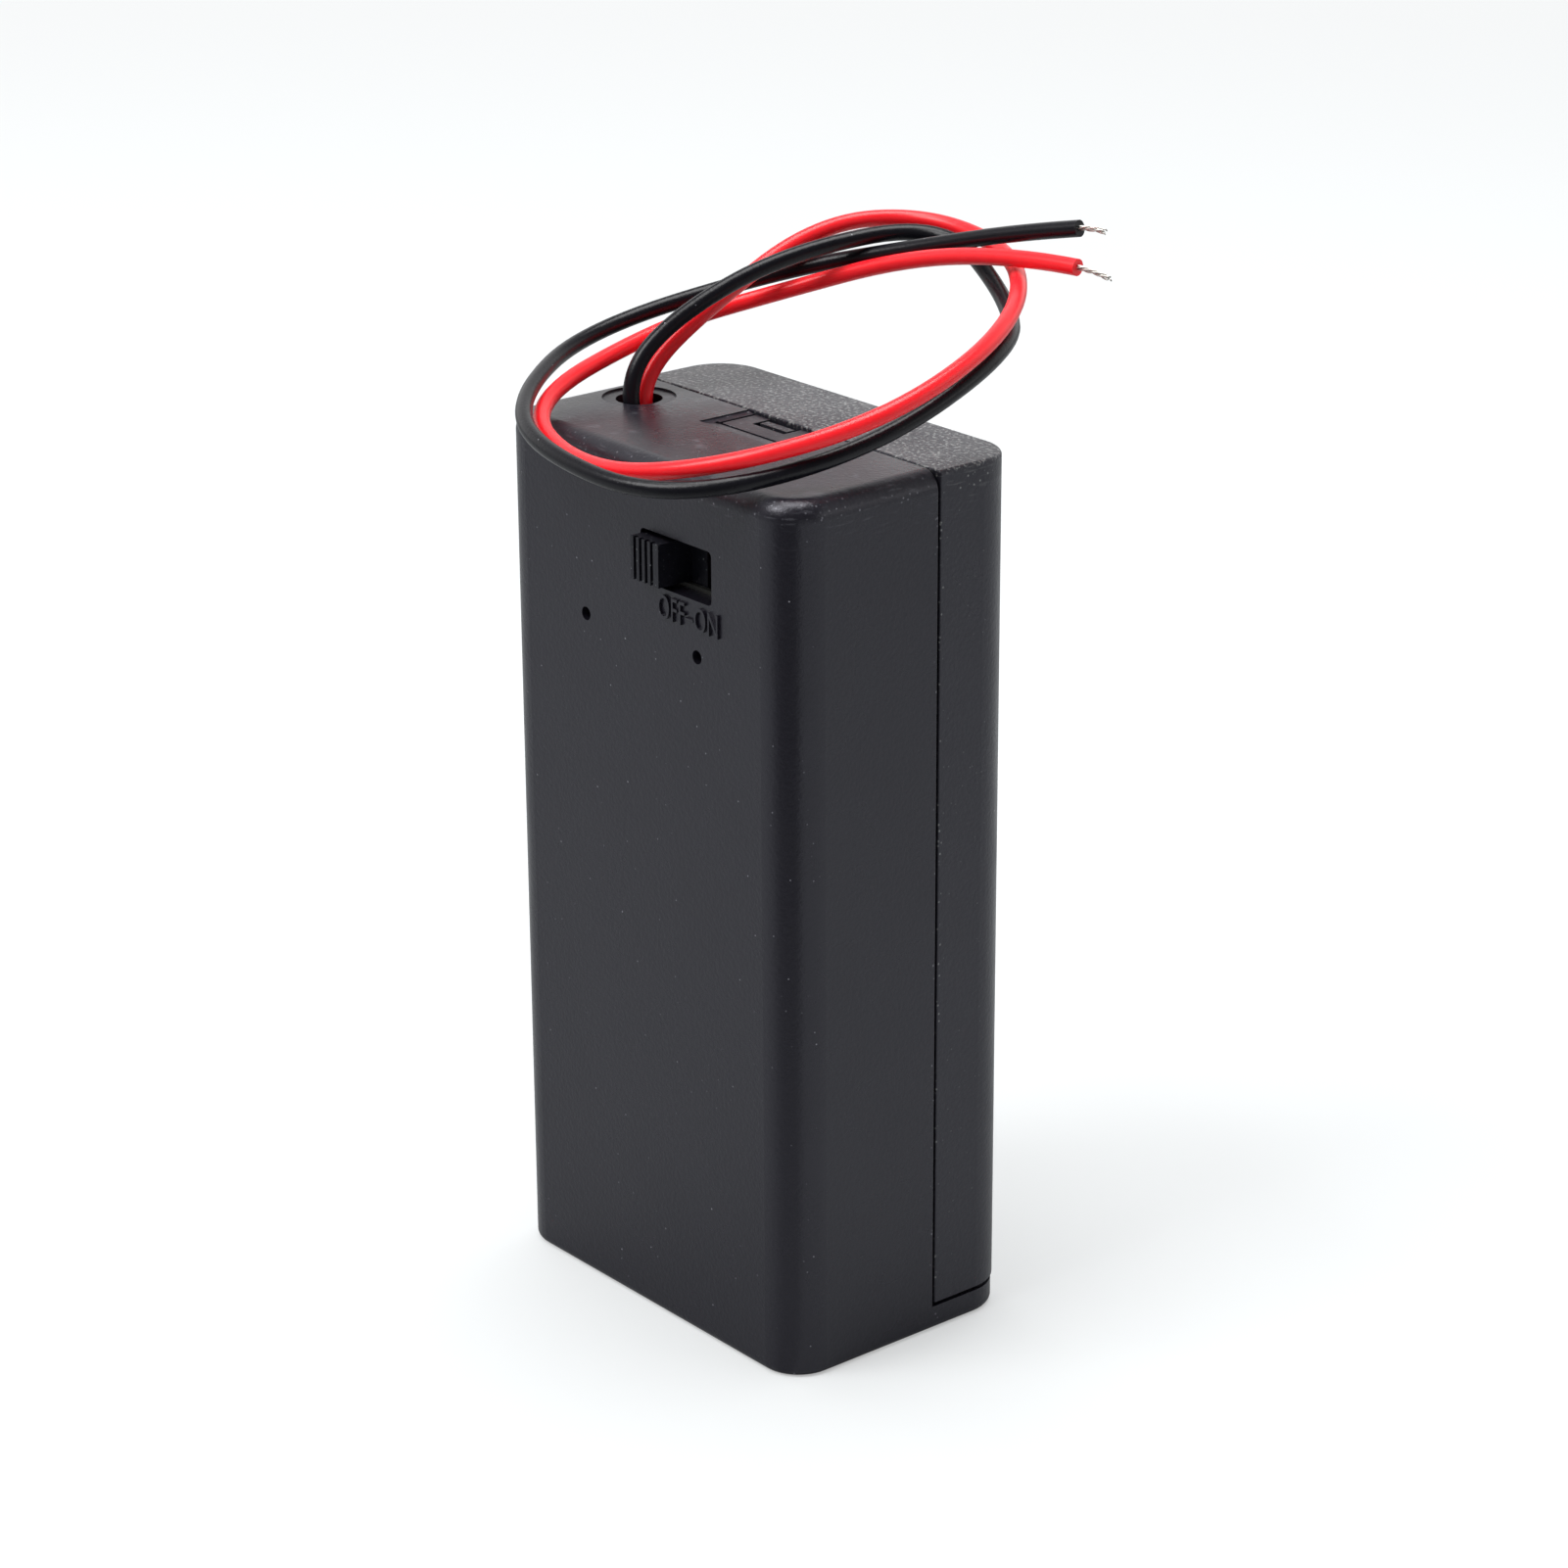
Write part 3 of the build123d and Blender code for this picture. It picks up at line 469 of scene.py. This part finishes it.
def bareStrands(name, lead):
    # each strand is a small tube about a helix, with the last strand straight in the middle: the
    # helix winds round the lead's last heading once per lap, its radius opens towards the cut by
    # splay times the square of the way along, and the bundle sinks by droop times that square
    route = np.array(lead["routeMm"]) * mm
    heading = route[-1] - route[-2]
    heading /= np.linalg.norm(heading)
    sideways = np.cross(heading, (0, 0, 1))
    sideways /= np.linalg.norm(sideways)
    upwards = np.cross(sideways, heading)
    length = lead["bareMm"] * mm
    radius = strand["diameterMm"] / 2 * mm
    rows, around, count = strand["rows"], strand["around"], lead["strandCount"]
    # rows start inside the insulation so that the strands come out of it
    along = np.linspace(-strand["insideShare"], 1.0, rows)[None, :, None]
    turn = np.linspace(0, 2 * np.pi, around, endpoint=False)[None, None, :]
    which = np.arange(count)[:, None, None]
    phase = 2 * np.pi * which / (count - 1)
    outer = np.where(which < count - 1, 1.0, 0.0)
    rise = np.clip(along, 0, 1) ** 2
    opening = 1 + lead["splay"] * rise * (1 + strand["unevenSplay"] * np.sin(3 * phase))
    winding = phase + 2 * np.pi * along * length / (strand["lapMm"] * mm)
    centreOut = outer * strand["ringInRadii"] * radius * opening
    reach = along * length * (1 - strand["unevenCut"] * np.cos(2 * phase + 1))
    across = centreOut * np.cos(winding) + radius * np.cos(turn)
    above = centreOut * np.sin(winding) + radius * np.sin(turn) - lead["droopMm"] * mm * rise
    points = (route[-1] + (reach + 0 * turn)[..., None] * heading
              + across[..., None] * sideways + above[..., None] * upwards)
    firsts = np.arange(count) * rows * around
    faces = (ringFaces(rows, around)[None] + firsts[:, None, None]).reshape(-1, 4).tolist()
    for first in firsts.tolist():
        last = first + (rows - 1) * around
        faces.append(list(range(first, first + around)))
        faces.append(list(range(last + around - 1, last - 1, -1)))
    mesh = bpy.data.meshes.new(name)
    mesh.from_pydata(points.reshape(-1, 3).tolist(), [], faces)
    mesh.shade_smooth()
    mesh.materials.append(metal["tinnedCopperDrawn"])
    return putInScene(name, mesh)


for name, lead in leads.items():
    cord = leadCurve(name, lead)
    strands = bareStrands(name + "Strands", lead)
    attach(cord, "case")
    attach(strands, "case")
    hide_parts(lead["node"])
    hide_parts(lead["strands"])
print("leads laid")


# raised switch words on the face

words = {"text": "OFF\u2013ON", "spacing": 1.05, "leftMm": 2.35, "rightMm": 9.3,
         "lowMm": 57.35, "highMm": 59.2, "faceMm": -11.1, "standsOutMm": 0.2, "sunkMm": 0.15}


def switchWords(look):
    # plain letters: their own width, height and thickness are stretched onto their place
    data = bpy.data.curves.new("switchWords", "FONT")
    data.body = look["text"]
    data.extrude = 0.5  # any thickness does, because it is stretched below
    data.space_character = look["spacing"]
    draft = putInScene("wordsDraft", data)
    bpy.context.view_layer.update()
    mesh = bpy.data.meshes.new_from_object(draft)
    bpy.data.objects.remove(draft)
    flat = np.empty(len(mesh.vertices) * 3)
    mesh.vertices.foreach_get("co", flat)
    flat = flat.reshape(-1, 3)
    low, high = flat.min(0), flat.max(0)
    part = (flat - low) / (high - low)
    thickness = look["standsOutMm"] + look["sunkMm"]
    placed = np.empty_like(flat)
    placed[:, 0] = look["leftMm"] + part[:, 0] * (look["rightMm"] - look["leftMm"])
    placed[:, 1] = look["faceMm"] + look["sunkMm"] - part[:, 2] * thickness
    placed[:, 2] = look["lowMm"] + part[:, 1] * (look["highMm"] - look["lowMm"])
    mesh.vertices.foreach_set("co", (placed * mm).ravel())
    mesh.update()
    mesh.materials.append(absMatte)
    return putInScene("switchWords", mesh)


wordsPiece = switchWords(words)
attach(wordsPiece, "case")
print("words raised")


# floor: lengths are in metres, except where Mm is in the name, and angles in radians

floorLook = {"radius": 4.0, "rings": 12, "around": 48, "firstRing": 0.02,
             "colour": "#adb0b1", "seenGlow": 0.4, "fadeFrom": 0.35, "fadeTo": 0.9,
             "shadeAway": 0.18, "shadeFromMm": (15, -10, 0), "shadeTowards": (0.41, -0.91, 0.0),
             "shadeAcross": (0.91, 0.41, 0.0), "wedgeLeft": (-0.8, -0.2),
             "wedgeRight": (0.75, 0.5), "wedgeDepth": (-0.12, 0.22),
             "leftAngle": -1.2, "leftShare": 0.79, "rightAngle": 1.6, "rightShare": 1.04}


def paperBackdrop(look):
    # matt white paper: the camera sees a glow of its own too, so it looks white and keeps the
    # object's shadow; shiny surfaces see a dark wedge on it, which opens from the box's front
    # corner towards the viewer, as the unlit side of a studio does
    material, tree, place = newMaterial("paperBackdropMatte")
    ray = addNode(tree, "ShaderNodeLightPath")
    mirrored = addNode(tree, "ShaderNodeMath", {"operation": "MAXIMUM"}, None,
                       {0: ray.outputs["Is Glossy Ray"], 1: ray.outputs["Is Transmission Ray"]})
    away = addNode(tree, "ShaderNodeVectorMath", {"operation": "SUBTRACT"},
                   {1: [mm * v for v in look["shadeFromMm"]]}, {0: place})
    distance = addNode(tree, "ShaderNodeVectorMath", {"operation": "LENGTH"}, None,
                       {0: away.outputs["Vector"]})
    ahead = addNode(tree, "ShaderNodeVectorMath", {"operation": "DOT_PRODUCT"},
                    {1: look["shadeTowards"]}, {0: away.outputs["Vector"]})
    across = addNode(tree, "ShaderNodeVectorMath", {"operation": "DOT_PRODUCT"},
                     {1: look["shadeAcross"]}, {0: away.outputs["Vector"]})
    # the angle from the wedge's middle line: a slow edge on its left, a quick one on its right
    angle = addNode(tree, "ShaderNodeMath", {"operation": "ARCTAN2"}, None,
                    {0: across.outputs["Value"], 1: ahead.outputs["Value"]}).outputs[0]
    leftEdge, rightEdge, depth = [
        addNode(tree, "ShaderNodeMapRange", {"interpolation_type": "SMOOTHSTEP"},
                {"From Min": span[0], "From Max": span[1]}, {"Value": value}).outputs["Result"]
        for span, value in ((look["wedgeLeft"], angle), (look["wedgeRight"], angle),
                            (look["wedgeDepth"], distance.outputs["Value"]))]
    wedge = addNode(tree, "ShaderNodeMath", {"operation": "MULTIPLY"}, None,
                    {0: leftEdge, 1: rightEdge})
    dark = addNode(tree, "ShaderNodeMath", {"operation": "MULTIPLY"}, None,
                   {0: wedge.outputs[0], 1: depth})
    shade = addNode(tree, "ShaderNodeMapRange", None,
                    {"To Min": 1.0, "To Max": look["shadeAway"]}, {"Value": dark.outputs[0]})
    # painted shade and light for shiny surfaces: the paper they see darkens towards the left and
    # brightens a little towards the right
    sideways = addNode(tree, "ShaderNodeMapRange", None,
                       {"From Min": look["leftAngle"], "From Max": look["rightAngle"],
                        "To Min": look["leftShare"], "To Max": look["rightShare"]},
                       {"Value": angle})
    shade = addNode(tree, "ShaderNodeMath", {"operation": "MULTIPLY"}, None,
                    {0: shade.outputs["Result"], 1: sideways.outputs["Result"]})
    shade = addNode(tree, "ShaderNodeMix", {"data_type": "FLOAT"}, {2: 1.0},
                    {0: mirrored.outputs[0], 3: shade.outputs[0]})
    # far from the object the camera sees plain white, so that the floor has no edge
    far = addNode(tree, "ShaderNodeMapRange", {"interpolation_type": "SMOOTHSTEP"},
                  {"From Min": look["fadeFrom"], "From Max": look["fadeTo"]},
                  {"Value": distance.outputs["Value"]})
    farSeen = addNode(tree, "ShaderNodeMath", {"operation": "MULTIPLY"}, None,
                      {0: far.outputs["Result"], 1: ray.outputs["Is Camera Ray"]})
    glowShare = addNode(tree, "ShaderNodeMapRange", None,
                        {"To Min": look["seenGlow"], "To Max": 1.0},
                        {"Value": far.outputs["Result"]})
    strength = addNode(tree, "ShaderNodeMath", {"operation": "MULTIPLY"}, None,
                       {0: glowShare.outputs["Result"], 1: ray.outputs["Is Camera Ray"]})
    glow = addNode(tree, "ShaderNodeEmission", None, {"Color": (1, 1, 1, 1)},
                   {"Strength": strength.outputs[0]})
    paperShare = addNode(tree, "ShaderNodeMath", {"operation": "SUBTRACT", "use_clamp": True},
                         None, {0: shade.outputs[0], 1: farSeen.outputs[0]})
    tint = addNode(tree, "ShaderNodeVectorMath", {"operation": "SCALE"},
                   {0: hexColour(look["colour"])[:3]}, {"Scale": paperShare.outputs[0]})
    paper = addNode(tree, "ShaderNodeBsdfDiffuse", None, None, {"Color": tint.outputs["Vector"]})
    both = addNode(tree, "ShaderNodeAddShader", None, None,
                   {0: glow.outputs[0], 1: paper.outputs[0]})
    finishMaterial(tree, both)
    return material


def studioFloor(look):
    # a disc: radius grows with the square of the ring number, so the rings are fine at the middle
    rings, around = look["rings"], look["around"]
    out = (np.linspace(look["firstRing"], 1, rings) ** 2)[:, None] * look["radius"]
    turn = np.linspace(0, 2 * np.pi, around, endpoint=False)[None, :]
    points = np.stack([out * np.cos(turn), out * np.sin(turn), 0 * out * turn], -1).reshape(-1, 3)
    points = np.vstack([points, [[0, 0, 0]]])
    centre = rings * around
    faces = ringFaces(rings, around).tolist()
    faces += [[centre, i, (i + 1) % around] for i in range(around)]
    mesh = bpy.data.meshes.new("studioFloor")
    mesh.from_pydata(points.tolist(), [], faces)
    mesh.materials.append(paperBackdrop(look))
    putInScene("studioFloor", mesh)


studioFloor(floorLook)
print("floor laid")


# daylight: inFrontTo and behindFrom are cosines of the angle to the bright side, and aboveFrom
# and aboveFull are sines of the height, where one brightness blends into the other

daylight = {"seen": 1.0, "towards": (-0.72, 0.6, 0.35), "inFront": 0.12, "inFrontTo": -0.5,
            "behind": 0.98, "behindFrom": 0.8, "aboveShare": 0.2, "aboveFrom": 0.5,
            "aboveFull": 0.75, "ambientShare": 1.1, "evenShare": 0.25}


def softDaylight(look):
    # a white tent: brightest behind the object and low down, dim round the camera and overhead,
    # white where the camera sees it
    world = bpy.data.worlds.new("softDaylight")
    bpy.context.scene.world = world
    world.use_nodes = True
    tree = world.node_tree
    tree.nodes.clear()
    ray = addNode(tree, "ShaderNodeLightPath")
    direction = addNode(tree, "ShaderNodeTexCoord").outputs["Generated"]
    facing = addNode(tree, "ShaderNodeVectorMath", {"operation": "DOT_PRODUCT"},
                     {1: look["towards"]}, {0: direction})
    tent = addNode(tree, "ShaderNodeMapRange", {"interpolation_type": "SMOOTHSTEP"},
                   {"From Min": look["inFrontTo"], "From Max": look["behindFrom"],
                    "To Min": look["inFront"], "To Max": look["behind"]},
                   {"Value": facing.outputs["Value"]})
    height = addNode(tree, "ShaderNodeSeparateXYZ", None, None, {0: direction})
    overhead = addNode(tree, "ShaderNodeMapRange", {"interpolation_type": "SMOOTHSTEP"},
                       {"From Min": look["aboveFrom"], "From Max": look["aboveFull"],
                        "To Min": 1.0, "To Max": look["aboveShare"]},
                       {"Value": height.outputs["Z"]})
    tent = addNode(tree, "ShaderNodeMath", {"operation": "MULTIPLY"}, None,
                   {0: tent.outputs["Result"], 1: overhead.outputs["Result"]})
    # matte surfaces get an even share of light from all round as well
    even = addNode(tree, "ShaderNodeMath", {"operation": "MULTIPLY_ADD"},
                   {1: look["ambientShare"], 2: look["evenShare"]}, {0: tent.outputs[0]})
    mirrored = addNode(tree, "ShaderNodeMath", {"operation": "MAXIMUM"}, None,
                       {0: ray.outputs["Is Glossy Ray"], 1: ray.outputs["Is Transmission Ray"]})
    ambient = addNode(tree, "ShaderNodeMix", {"data_type": "FLOAT"}, None,
                      {0: mirrored.outputs[0], 2: even.outputs[0], 3: tent.outputs[0]})
    strength = addNode(tree, "ShaderNodeMix", {"data_type": "FLOAT"}, {3: look["seen"]},
                       {0: ray.outputs["Is Camera Ray"], 2: ambient.outputs[0]})
    sky = addNode(tree, "ShaderNodeBackground", None, {"Color": (1, 1, 1, 1)},
                  {"Strength": strength.outputs[0]})
    addNode(tree, "ShaderNodeOutputWorld", None, None, {"Surface": sky.outputs[0]})


softDaylight(daylight)

lamps = {
    "topBox": {"place": (-0.06, 0.04, 0.8), "aim": (0, 0, 0.05), "size": (0.5, 0.5), "watts": 4.9},
    "frontBox": {"place": (-0.16, -0.58, 0.82), "aim": (0, 0, 0.06), "size": (0.5, 0.5),
                 "watts": 6.0},
    "rightBox": {"place": (0.7, 0.53, 0.22), "aim": (0, 0, 0.06), "size": (0.6, 0.25),
                 "watts": 0.4},
}
for name, look in lamps.items():
    lamp = bpy.data.lights.new(name, "AREA")
    lamp.shape = "RECTANGLE"
    lamp.size, lamp.size_y = look["size"]
    lamp.energy = look["watts"]
    putInScene(name, lamp).matrix_world = aimedAt(look["place"], look["aim"])
print("studio lit")
